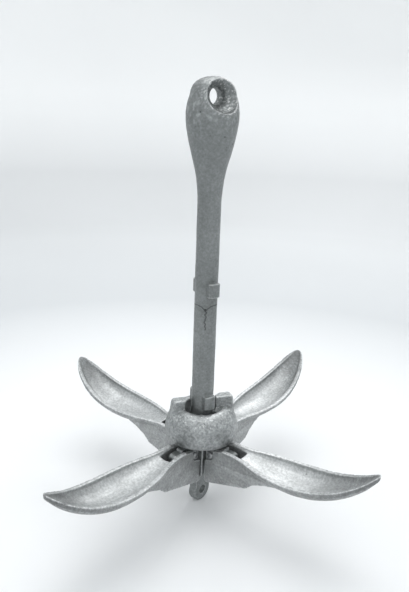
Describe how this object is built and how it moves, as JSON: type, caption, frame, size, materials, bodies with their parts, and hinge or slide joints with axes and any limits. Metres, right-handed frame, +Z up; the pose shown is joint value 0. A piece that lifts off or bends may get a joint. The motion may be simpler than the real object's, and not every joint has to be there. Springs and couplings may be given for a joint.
{
  "type": "folding grapnel anchor",
  "caption": "Folding grapnel boat anchor: round shank with a rope eye, scooped hinged flukes and a sliding bell collar that locks them open.",
  "frame": {"origin": "bottom of the tripping eye, on the shank's axis", "axes": "+Z up the shank towards the rope eye, +X out along the front right fluke, +Y out along the back right fluke"},
  "size_m": [0.2756, 0.2755, 0.3056],
  "materials": {
    "shank_iron": "hot-dip galvanised casting, dull mid grey, pitted",
    "collar_iron": "hot-dip galvanised casting, mottled grey",
    "fluke_iron": "hot-dip galvanised casting, bright silver grey",
    "pin_steel": "galvanised steel rivet, dull grey"
  },
  "bodies": {
    "shank": {"shank": "shank_iron", "pin_front_right": "pin_steel", "pin_back_right": "pin_steel", "pin_back_left": "pin_steel", "pin_front_left": "pin_steel"},
    "collar": {"locking_collar": "collar_iron"},
    "fluke_front_right": {"fluke_front_right": "fluke_iron"},
    "fluke_back_right": {"fluke_back_right": "fluke_iron"},
    "fluke_back_left": {"fluke_back_left": "fluke_iron"},
    "fluke_front_left": {"fluke_front_left": "fluke_iron"}
  },
  "joints": [
    {"name": "collar_slide", "type": "slide", "parent": "shank", "child": "collar", "axis": [0, 0, 1], "range_m": [0, 0.1375]},
    {"name": "fluke_front_right_hinge", "type": "hinge", "parent": "shank", "child": "fluke_front_right", "pos_m": [0.0144, 0, 0.046], "axis": [0, -1, 0], "range_deg": [0, 73]},
    {"name": "fluke_back_right_hinge", "type": "hinge", "parent": "shank", "child": "fluke_back_right", "pos_m": [0, 0.0144, 0.046], "axis": [1, 0, 0], "range_deg": [0, 73]},
    {"name": "fluke_back_left_hinge", "type": "hinge", "parent": "shank", "child": "fluke_back_left", "pos_m": [-0.0144, 0, 0.046], "axis": [0, 1, 0], "range_deg": [0, 73]},
    {"name": "fluke_front_left_hinge", "type": "hinge", "parent": "shank", "child": "fluke_front_left", "pos_m": [0, -0.0144, 0.046], "axis": [-1, 0, 0], "range_deg": [0, 73]}
  ],
  "couplings": [
    {"joint": "fluke_front_right_hinge", "follows": "collar_slide", "rad_per_m": 9.266},
    {"joint": "fluke_back_right_hinge", "follows": "collar_slide", "rad_per_m": 9.266},
    {"joint": "fluke_back_left_hinge", "follows": "collar_slide", "rad_per_m": 9.266},
    {"joint": "fluke_front_left_hinge", "follows": "collar_slide", "rad_per_m": 9.266}
  ]
}
